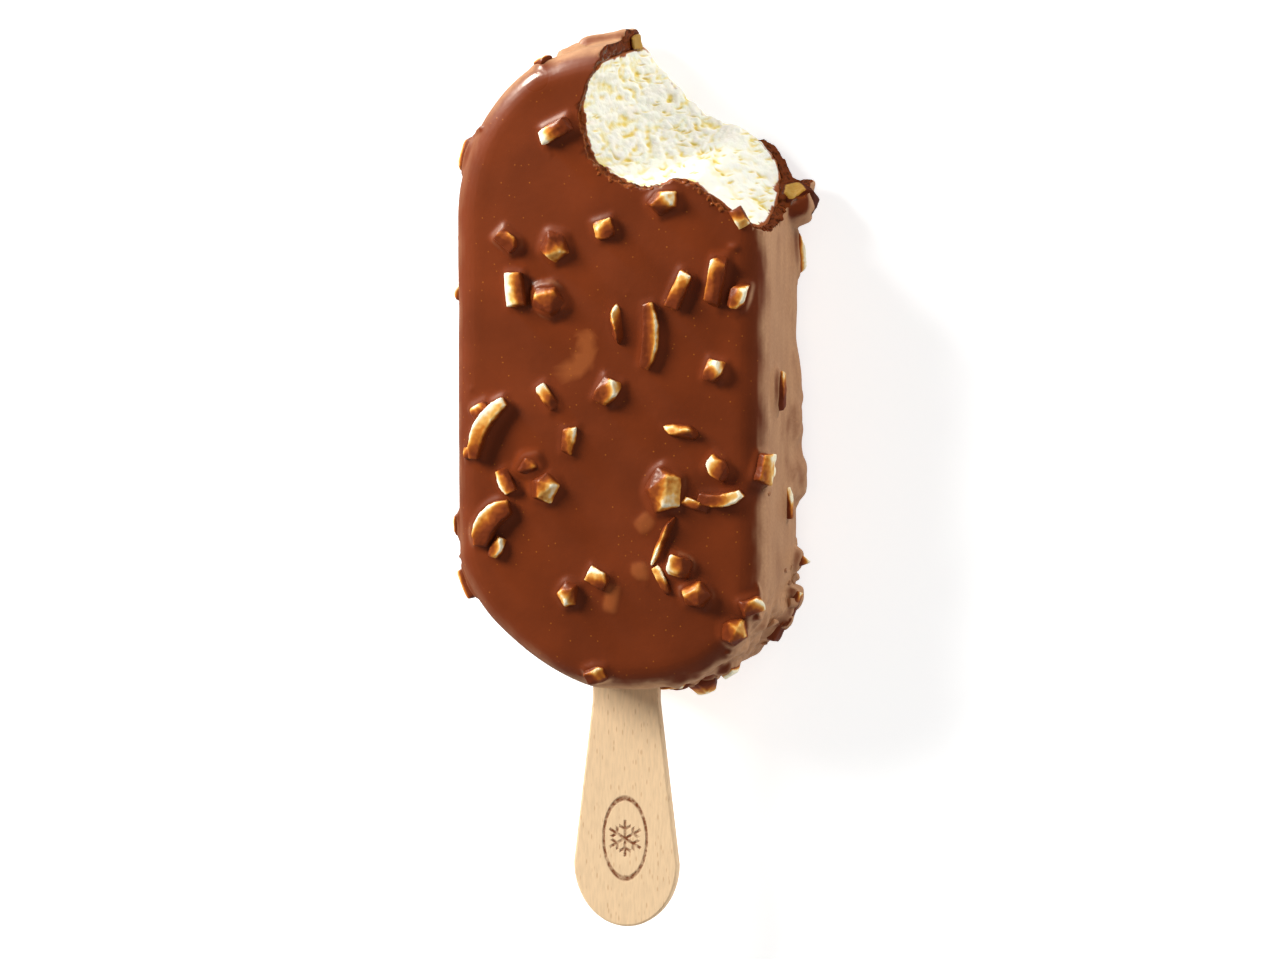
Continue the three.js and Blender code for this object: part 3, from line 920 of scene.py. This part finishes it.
def vanilla_ice_cream(tree, place, finish):
    """Aerated vanilla ice cream: off-white and matt, with painted yellow shade down in its flat
    air pockets and the crevices between its lumps, and light that soaks a little way in."""
    # Painted shade: yellow laid into the air pockets and the crevices between lumps.
    pocket_shade = node(tree, "Attribute", attribute_name="pocket_shade").outputs["Fac"]
    shade = node(tree, "Mix", {0: pocket_shade, 6: finish.cream, 7: finish.cream_deep}, data_type="RGBA")
    stain = node(tree, "Attribute", attribute_name="stain").outputs["Fac"]
    smear = node(tree, "Mix", {0: stain, 6: shade, 7: finish.thin_coat}, data_type="RGBA")
    fine = node(tree, "TexNoise", {"Vector": place, "Scale": 1 / (0.45 * MM), "Detail": 3.0})
    bump = node(tree, "Bump", {"Height": fine, "Distance": 0.1 * MM})
    return {
        "Base Color": smear, "Roughness": 0.6, "Normal": bump, "IOR": 1.35,
        "Subsurface Weight": 0.5, "Subsurface Radius": (1.0, 0.8, 0.5),
        "Subsurface Scale": 1.5 * MM,
    }


def almond_under_chocolate(tree, place, finish):
    """Chopped almond: creamy where it is bare, golden and then brown as the film of chocolate
    over it grows thicker, and olive where teeth went through it."""
    film = node(tree, "Attribute", attribute_name="film").outputs["Fac"]
    fibre = node(tree, "TexNoise", {"Vector": place, "Scale": 1 / (0.6 * MM), "Detail": 3.0})
    wander = node(tree, "MapRange", {"Value": fibre, "To Min": -0.08, "To Max": 0.08})
    depth = node(tree, "Math", {0: film, 1: wander}, operation="ADD")
    tone = node(
        tree, "ValToRGB", {0: depth},
        [(0.03, finish.kernel), (0.21, finish.golden), (0.4, finish.toasted),
         (0.6, finish.amber), (0.86, finish.chocolate)],
    )
    bitten = node(tree, "Attribute", attribute_name="bitten").outputs["Fac"]
    olive = node(
        tree, "Mix", {0: bitten, 6: tone, 7: finish.bitten_kernel}, data_type="RGBA",
        blend_type="MULTIPLY",
    )
    bump = node(tree, "Bump", {"Height": fibre, "Distance": 0.06 * MM})
    return {
        "Base Color": olive, "Roughness": 0.42, "Normal": bump, "IOR": 1.46,
        "Specular IOR Level": 0.35,
    }


def ice_crystal(tree, place):
    """Where a six-armed ice crystal in an oval ring is burnt in, from 0 to 1."""
    moved = node(tree, "Mapping", {
        "Vector": place, "Location": (0, -MARK_HEIGHT / MM, 0), "Scale": (1 / MM, 1 / MM, 0),
    })
    part = node(tree, "SeparateXYZ", {0: moved}).outputs
    squashed = node(tree, "VectorMath", {0: moved, 1: (1, 0.55, 0)}, operation="MULTIPLY")
    found = {
        "x": part[0],
        "y": part[1],
        "reach": node(tree, "VectorMath", {0: moved}, operation="LENGTH"),
        "oval reach": node(tree, "VectorMath", {0: squashed}, operation="LENGTH"),
    }
    for name, operation, *terms in (
        ("angle", "ARCTAN2", "x", "y"),
        ("folded", "PINGPONG", "angle", math.pi / 6),
        ("cosine", "COSINE", "folded"),
        ("sine", "SINE", "folded"),
        ("along", "MULTIPLY", "reach", "cosine"),
        ("aside", "MULTIPLY", "reach", "sine"),
        ("fork", "MULTIPLY_ADD", "along", 0.87, -1.3),
        ("off fork", "MULTIPLY_ADD", "aside", -0.5, "fork"),
        ("fork gap", "ABSOLUTE", "off fork"),
        ("past fork", "SUBTRACT", "aside", 0.7),
        ("forks", "MAXIMUM", "fork gap", "past fork"),
        ("arms", "MINIMUM", "forks", "aside"),
        ("past arm", "SUBTRACT", "reach", 2.7),
        ("crystal", "MAXIMUM", "arms", "past arm"),
        ("off ring", "SUBTRACT", "oval reach", 3.5),
        ("ring", "ABSOLUTE", "off ring"),
        ("nearest", "MINIMUM", "crystal", "ring"),
    ):
        inputs = {i: found.get(term, term) for i, term in enumerate(terms)}
        found[name] = node(tree, "Math", inputs, operation=operation)
    return node(tree, "MapRange", {"Value": found["nearest"], "From Min": 0.3, "From Max": 0.12})


def plain_beech(tree, place, finish):
    """Unvarnished beech veneer: pale, with fine grain along it and the short dark flecks of
    beech, and a small mark of an ice crystal burnt in."""
    long_way, dashes = (
        node(tree, "Mapping", {"Vector": place, "Scale": [1 / (side * MM) for side in sides]})
        for sides in ((0.35, 2.2, 2.0), (0.45, 1.7, 0.5))
    )
    line = node(tree, "TexNoise", {"Vector": long_way, "Scale": 1.0, "Detail": 3.0})
    pale, deep = shades(finish.beech, 1.04, 0.93)
    tone = node(tree, "ValToRGB", {0: line}, [(0.32, deep), (0.62, pale)])
    fleck = rare_dots(tree, dashes, 1.0, 0.34, 0.16)
    soft = node(tree, "Math", {0: fleck, 1: 0.45}, operation="MULTIPLY")
    brown = [c * share for c, share in zip(finish.beech, (0.62, 0.46, 0.34))]
    flecked = node(tree, "Mix", {0: soft, 6: tone, 7: brown}, data_type="RGBA")
    front = node(tree, "SeparateXYZ", {0: place}).outputs[2]
    facing = node(tree, "Math", {0: front, 1: STICK_MIDDLE}, operation="GREATER_THAN")
    uneven = node(tree, "TexNoise", {"Vector": place, "Scale": 1 / (0.8 * MM), "Detail": 2.0})
    heat = node(
        tree, "MapRange", {"Value": uneven, "From Min": 0.3, "From Max": 0.6, "To Min": 0.35},
    )
    mark = node(tree, "Math", {0: ice_crystal(tree, place), 1: facing}, operation="MULTIPLY")
    burnt = node(tree, "Math", {0: mark, 1: heat}, operation="MULTIPLY")
    marked = node(tree, "Mix", {0: burnt, 6: flecked, 7: finish.scorch}, data_type="RGBA")
    height = node(tree, "Math", {0: burnt, 1: -3.0, 2: line}, operation="MULTIPLY_ADD")
    bump = node(tree, "Bump", {"Height": height, "Distance": 0.03 * MM})
    return {"Base Color": marked, "Roughness": 0.62, "Normal": bump}


def pale_table(tree, place, finish):
    """A light table of opal acrylic: matt and evenly pale, so shadows on it stay soft."""
    cloud = node(tree, "TexNoise", {"Vector": place, "Scale": 1 / (150 * MM)})
    dark, floor = shades(finish.floor, 0.985, 1)
    tone = node(tree, "ValToRGB", {0: cloud}, [(0.3, dark), (0.7, floor)])
    return {
        "Base Color": tone, "Roughness": 0.9, "Emission Color": (1, 1, 1),
        "Emission Strength": 0.68,
    }


# ---- Operators ----

class ICEBAR_OT_stage(Operator):
    """Set up the floor, the lights, the surroundings and the camera"""
    bl_idname = "icebar.add_stage"
    bl_label = "Stage"

    def execute(self, context):
        studio = context.scene.studio
        deselect()
        bpy.ops.mesh.primitive_plane_add(size=6)
        floor = context.object
        floor.name = "table"
        floor.visible_glossy = False
        dress(floor, material(pale_table))
        floor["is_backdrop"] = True

        world = bpy.data.worlds.new("soft_surroundings")
        world.use_nodes = True
        world.node_tree.nodes["Background"].inputs["Color"].default_value = (1, 1, 1, 1)
        world.node_tree.nodes["Background"].inputs["Strength"].default_value = AMBIENT
        context.scene.world = world
        context.scene.view_settings.view_transform = "Standard"

        middle = Vector((0, 0, context.scene.bar_shape.thickness / 2))
        lights = [
            ("key_light", (-0.38, 0.22, 0.26), 0.22, studio.key_power),
            ("fill_light", (0.62, 0.64, 0.15), 0.4, studio.fill_power),
            ("glint_light", (-0.336, 0.348, 0.09), 0.08, studio.glint_power),
            ("side_light", (0.12, -0.36, 0.22), 0.2, studio.side_power),
        ]
        for name, place, width, power in lights:
            aim = (middle - Vector(place)).to_track_quat("-Z", "Y")
            bpy.ops.object.light_add(type="AREA", location=place, rotation=aim.to_euler())
            light = context.object
            light.name = name
            light.data.size = width
            light.data.energy = power
            light.visible_glossy = name == "glint_light"
            light.visible_diffuse = name != "glint_light"
        bpy.data.objects["glint_light"].data.color = GLINT_COLOUR

        turn, tilt = studio.turn, studio.tilt
        towards = Vector((math.sin(turn) * math.cos(tilt), math.sin(tilt),
                          math.cos(turn) * math.cos(tilt)))
        right = Vector((math.cos(turn), 0, -math.sin(turn)))
        up = towards.cross(right)
        aim = middle + right * AIM_RIGHT - up * AIM_DOWN
        bpy.ops.object.camera_add(location=aim + towards * studio.distance)
        camera = context.object
        camera.name = "camera"
        camera.rotation_euler = Matrix((right, up, towards)).transposed().to_euler()
        camera.data.lens = camera.data.sensor_width * studio.distance / studio.field
        camera.data.clip_start = 0.01
        context.scene.camera = camera
        return {"FINISHED"}


class ICEBAR_OT_almonds(Operator):
    """Model the chopped almonds that the coat carries"""
    bl_idname = "icebar.add_almonds"
    bl_label = "Chopped almonds"

    def execute(self, context):
        block = bar_body("plain_bar", 0, **OUTSIDE)
        body = tree_of(block)
        large = finish_almonds(large_pieces(), "chopped_almonds", body)
        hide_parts(*almond_nodes())
        small = small_pieces(body)
        remove(*(bit for bit, look in small if look[0] > 1))
        finish_almonds([pair for pair in small if pair[1][0] <= 1], "almond_bits", body)
        remove(block)
        return {"FINISHED"}


class ICEBAR_OT_coating(Operator):
    """Model the milk chocolate coat, broken open at the bite"""
    bl_idname = "icebar.add_coating"
    bl_label = "Chocolate coating"

    def execute(self, context):
        shape = context.scene.bar_shape
        coat = bar_body("milk_chocolate_coat", 0, **OUTSIDE)
        body = tree_of(coat)
        almonds = large_pieces() + small_pieces(body)
        drowned = [tree_of(piece) for piece, look in almonds if look[0] > 1]
        shape_with(coat, "REMESH", mode="VOXEL", voxel_size=shape.voxel)
        shape_with(coat, "SMOOTH", factor=0.5, iterations=4)
        self.settle(coat, shape)
        draw_up(coat, almonds, body)
        remove(*(piece for piece, _ in almonds))
        shape_with(coat, "DECIMATE", ratio=COAT_KEPT)
        dress(coat, material(milk_chocolate), material(broken_chocolate))
        bite = bite_cutter("broken_edge", BROKEN_SPACING, self.jagged)
        cavity = bar_body("cavity", shape.coat / MM, **INSIDE)
        fit_inside(cavity)
        for cutter in (bite, cavity):
            dress(cutter, coat.data.materials[1])
        cut_away(coat, cavity, stick_cutter(), bite)
        self.paint(coat, drowned)
        select_only(coat)
        bpy.ops.object.shade_smooth_by_angle(angle=math.radians(50))
        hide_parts("chocolate_coating")
        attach(coat, "root")
        return {"FINISHED"}

    @staticmethod
    def settle(coat, shape):
        """Crowns the front and leaves the whole coat slightly uneven."""
        places = spots(coat.data)
        outward = normals(coat.data)
        rim = finder([(x, y, 0) for x, y in bar_outline(0, 600)])
        inward = np.array([rim.find((x, y, 0))[2] for x, y, _ in places])
        waves = grain(places, 16, 1.0) + 0.35 * grain(places, 5, 2.0)
        places += outward * (waves * shape.waviness / MM)[:, None]
        front = rising(places[:, 2], 14, 24)
        places[:, 2] -= shape.crown / MM * front * (1 - rising(inward, 2, 15))
        places[:, 1] -= TOP_CHAMFER * at_the_top(places, 6, 20)
        x, y, z = places.T
        low_right = rising(x, 20, 24) * (1 - rising(z, 5, 11))
        ridge = rising(y, -22, -20.5) * (1 - rising(y, -6, 5)) + 0.25 * rising(y, -40, -30)
        places[:, 0] += FLANGE * low_right * ridge * (0.8 + 0.5 * grain(places, 3.5, 12.0))
        ragged = rising(x, 4, 12) * (1 - rising(y, -39, -33)) * (1 - rising(z, 20, 24.5))
        lumps = 1.1 * grain(places, 3.4, 18.0) + 0.4 * grain(places, 1.4, 19.0)
        places += outward * (ragged * lumps)[:, None]
        places[:, 2] = np.maximum(places[:, 2], 0)
        move_to(coat.data, places)

    @staticmethod
    def jagged(places):
        """Broken chocolate breaks off in steps and crumbs, and the back breaks further in, so
        the ice cream hangs over it."""
        seen = places * (1, 1, 0.4)
        steps = np.sign(grain(seen, 1.5, 4.0)) * 0.1
        chips = steps + 0.36 * grain(seen, 1.3, 5.0) + 0.16 * grain(seen, 0.5, 6.0)
        back = (1 - rising(places[:, 2], 2.2, 2.8)) * (1 - rising(places[:, 0], 15, 21))
        return chips - BACK_RECESS * back

    @staticmethod
    def paint(coat, drowned):
        """Stores where the coat is thin over almonds, and where frost and a painted sheen lie."""
        places = spots(coat.data)
        outward = normals(coat.data)
        reach = np.full(len(places), 9.0)
        for tree in drowned:
            for i, place in enumerate(places):
                gap = tree.find_nearest(Vector(place) * MM, 1.5 * MM)[3]
                if gap is not None:
                    reach[i] = min(reach[i], gap / MM)
        store(coat.data, "thin", 0.8 * (1 - rising(reach, 0.1, 0.9)))
        x, y, _ = places.T
        wall = np.hypot(outward[:, 0], outward[:, 1]) + 0.16 * grain(places, 5, 9.0)
        wall += 0.08 * grain(places * (1, 0.4, 1), 1.0, 16.0)
        streaks = 0.16 * grain(places * (1, 0.25, 1), 1.6, 8.0) + 0.12 * grain(places, 8, 10.0)
        # Frost and its painted sheen start nearer to the front at the bottom, at the upper left
        # and on the top rim.
        low = 0.68 - 0.14 * (1 - rising(y, -35, -5))
        low -= 0.2 * rising(y, 8, 30) * (1 - rising(x, -14, -6))
        low -= 0.3 * rising(y, 46.5, 49)
        # Both are weaker on the left, below the top corner.
        left = (1 - rising(x, -20, 5)) * (1 - rising(y, 30, 48))
        share = (1 - 0.75 * left) * np.clip(0.9 + streaks, 0, 1)
        store(coat.data, "frost_and_sheen", rising(wall, low, 1) * share)
        away = np.linalg.norm(places - SMOOTH_SPOT, axis=1)
        store(coat.data, "smooth", np.exp(-(away / SMOOTH_REACH) ** 2))


class ICEBAR_OT_ice_cream(Operator):
    """Model the vanilla ice cream, torn and porous where it is bitten"""
    bl_idname = "icebar.add_ice_cream"
    bl_label = "Vanilla ice cream"

    def execute(self, context):
        shape = context.scene.ice_cream_shape
        inset = context.scene.bar_shape.coat / MM + CORE_GAP
        core = bar_body("vanilla_ice_cream", inset, **INSIDE)
        fit_inside(core)
        skin = tree_of(core)
        bite = bite_cutter("torn_surface", shape.spacing / MM, self.torn)
        torn = finder([vertex.co for vertex in bite.data.vertices])
        # The grid's own vertices come first, and those that extruding it added have no painted
        # pocket shade.
        pocket_shades = np.zeros(len(bite.data.vertices))
        pocket_shades[:len(self.depth)] = self.depth
        cut_away(core, stick_cutter(), bite)
        found = [torn.find(vertex.co) for vertex in core.data.vertices]
        shade_near_bite = np.array([pocket_shades[i] if gap < 0.05 * MM else 0 for _, i, gap in found])
        store(core.data, "pocket_shade", shade_near_bite)
        store(core.data, "stain", self.stained(spots(core.data), skin))
        select_only(core)
        bpy.ops.object.shade_smooth_by_angle(angle=math.radians(60))
        dress(core, material(vanilla_ice_cream))
        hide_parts("ice_cream")
        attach(core, "root")
        return {"FINISHED"}

    def torn(self, places):
        """Soft lumps, and flat air pockets that lie across the bar. It keeps in self.depth how
        much painted shade lies in the pockets and the crevices.
        """
        shape = bpy.context.scene.ice_cream_shape
        roll = np.random.default_rng(5)
        likely = np.clip(0.45 + 1.8 * grain(places, 4.5, 12.0), 0.04, 1)
        middles = places[roll.choice(len(places), shape.slits, p=likely / likely.sum())]
        reach = np.column_stack((
            roll.uniform(0.2, 0.8, shape.slits), roll.uniform(0.09, 0.16, shape.slits),
            roll.uniform(0.5, 1.5, shape.slits),
        ))
        lean = roll.normal(-0.1, 0.3, shape.slits)
        arch = roll.normal(0.08, 0.3, shape.slits)
        strength = roll.uniform(0.4, 1.0, shape.slits)
        slit = np.zeros(len(places))
        for middle, sides, slope, bend, deep in zip(middles, reach, lean, arch, strength):
            away = places - middle
            away[:, 1] -= slope * away[:, 0] + bend * away[:, 0] ** 2
            slit = np.maximum(slit, deep * np.exp(-((away / sides) ** 2).sum(axis=1)))
        seen = places * (1, 1, 0.55)
        crumbly = 1 - 0.8 * rising(places[:, 0], 6, 20) - 0.2 * rising(places[:, 2], 14, 20)
        crumbly += 0.6 * grain(seen, 7.0, 9.0) + 0.8 * (1 - rising(places[:, 2], 3, 7))
        crumbly = np.clip(crumbly, 0.3, 1)
        waves = 0.55 * grain(seen, 3.4, 1.0, 2)
        curds = crumbly * (0.5 * grain(seen, 1.5, 3.0) + 0.34 * grain(seen, 0.7, 4.0))
        # The hollows between lumps and the slits decide where yellow painted shade goes.
        crevice_shade = np.clip(-0.3 * waves - curds - 0.05, 0, 1)
        self.depth = np.clip(1.7 * slit * (1.1 - 0.4 * crumbly) + 3.0 * crevice_shade, 0, 1)
        return ((waves + curds) * shape.lump - slit * shape.slit_depth) / MM

    @staticmethod
    def stained(places, skin):
        """Smears of chocolate close to the coat: 1 where it covers the ice cream."""
        gap = np.array([skin.find_nearest(Vector(place) * MM)[3] for place in places]) / MM
        reach = 0.25 + 1.1 * np.clip(grain(places, 2.6, 6.0) + 0.5 * grain(places, 0.5, 7.0), 0, 1)
        return (1 - rising(gap, reach * 0.5, reach)) * rising(places[:, 2], 2.3, 3.2)


class ICEBAR_OT_crumbs(Operator):
    """Model the crumbs of chocolate along the bite and the ragged lower edge"""
    bl_idname = "icebar.add_crumbs"
    bl_label = "Chocolate crumbs"

    def execute(self, context):
        coat = tree_of(bpy.data.objects["milk_chocolate_coat"])
        roll = random.Random(23)
        kernels = [chopped_kernel(seed) for seed in range(10, 16)]
        for name, lines, chocolate in (
            ("bite_crumbs", BITE_CRUMBS, "broken_chocolate"),
            ("edge_crumbs", EDGE_CRUMBS, "milk_chocolate"),
        ):
            rows = self.spread_along(lines, roll)
            piece = joined([self.crumb(kernels, coat, roll, *row) for row in rows], name)
            shape_with(piece, "REMESH", mode="VOXEL", voxel_size=CRUMB_VOXEL * MM)
            shape_with(piece, "SMOOTH", factor=0.5, iterations=2)
            piece.data.shade_smooth()
            # The crumbs take the wall's frost and painted sheen.
            frost_and_sheen = 0.7 + 0.4 * grain(spots(piece.data), 1.5, 15.0)
            store(piece.data, "frost_and_sheen", np.clip(frost_and_sheen, 0, 1))
            dress(piece, bpy.data.materials[chocolate])
            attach(piece, "root")
        remove(*kernels)
        return {"FINISHED"}

    @staticmethod
    def spread_along(lines, roll):
        """A place and a length for each crumb, in millimetres."""
        for line, count, stray, largest in lines:
            for place in curve_through(line, count):
                spot = [side + roll.gauss(0, stray) for side in place]
                yield spot, largest * roll.uniform(0.3, 1)

    @staticmethod
    def crumb(kernels, coat, roll, place, reach):
        """One crumb, flat on the coat."""
        spot, out, _, _ = coat.find_nearest(Vector(place) * MM)
        deep, high = reach * roll.uniform(0.5, 0.9), reach * roll.uniform(0.4, 0.7)
        sides = (reach * MM, deep * MM, high * MM)
        leaning = out.to_track_quat("Z", "Y").to_matrix().to_4x4()
        turned = Matrix.Rotation(roll.uniform(0, math.tau), 4, "Z")
        crumb = copied(roll.choice(kernels).data, "crumb")
        crumb.data.transform(
            Matrix.Translation(spot) @ leaning @ turned @ Matrix.Diagonal((*sides, 1))
        )
        return crumb


class ICEBAR_OT_stick(Operator):
    """Finish the stick in plain beech"""
    bl_idname = "icebar.finish_stick"
    bl_label = "Beech stick"

    def execute(self, context):
        dress(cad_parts["stick"], material(plain_beech))
        return {"FINISHED"}


OPERATORS = (
    ICEBAR_OT_stage, ICEBAR_OT_coating, ICEBAR_OT_crumbs, ICEBAR_OT_ice_cream,
    ICEBAR_OT_almonds, ICEBAR_OT_stick,
)


class ICEBAR_PT_panel(Panel):
    """The steps that build the ice cream bar"""
    bl_idname = "ICEBAR_PT_panel"
    bl_label = "Ice Cream Bar"
    bl_space_type = "VIEW_3D"
    bl_region_type = "UI"
    bl_category = "Ice Cream Bar"

    def draw(self, context):
        for operator in OPERATORS:
            self.layout.operator(operator.bl_idname)


GROUPS = {
    "bar_shape": BarShape,
    "almond_shape": AlmondShape,
    "ice_cream_shape": IceCreamShape,
    "finishes": Finishes,
    "studio": Studio,
}


def register():
    for name, group in GROUPS.items():
        bpy.utils.register_class(group)
        setattr(bpy.types.Scene, name, PointerProperty(type=group))
    for part in (*OPERATORS, ICEBAR_PT_panel):
        bpy.utils.register_class(part)


def unregister():
    for part in reversed((*OPERATORS, ICEBAR_PT_panel)):
        bpy.utils.unregister_class(part)
    for name, group in reversed(GROUPS.items()):
        delattr(bpy.types.Scene, name)
        bpy.utils.unregister_class(group)


def main():
    register()
    bpy.ops.icebar.add_stage()
    bpy.ops.icebar.add_coating()
    bpy.ops.icebar.add_crumbs()
    bpy.ops.icebar.add_ice_cream()
    bpy.ops.icebar.add_almonds()
    bpy.ops.icebar.finish_stick()
    boxes = {"cad": CAD_BOX, "visual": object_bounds()}
    {name: [list(corner) for corner in box] for name, box in boxes.items()}


if __name__ == "__main__":
    main()
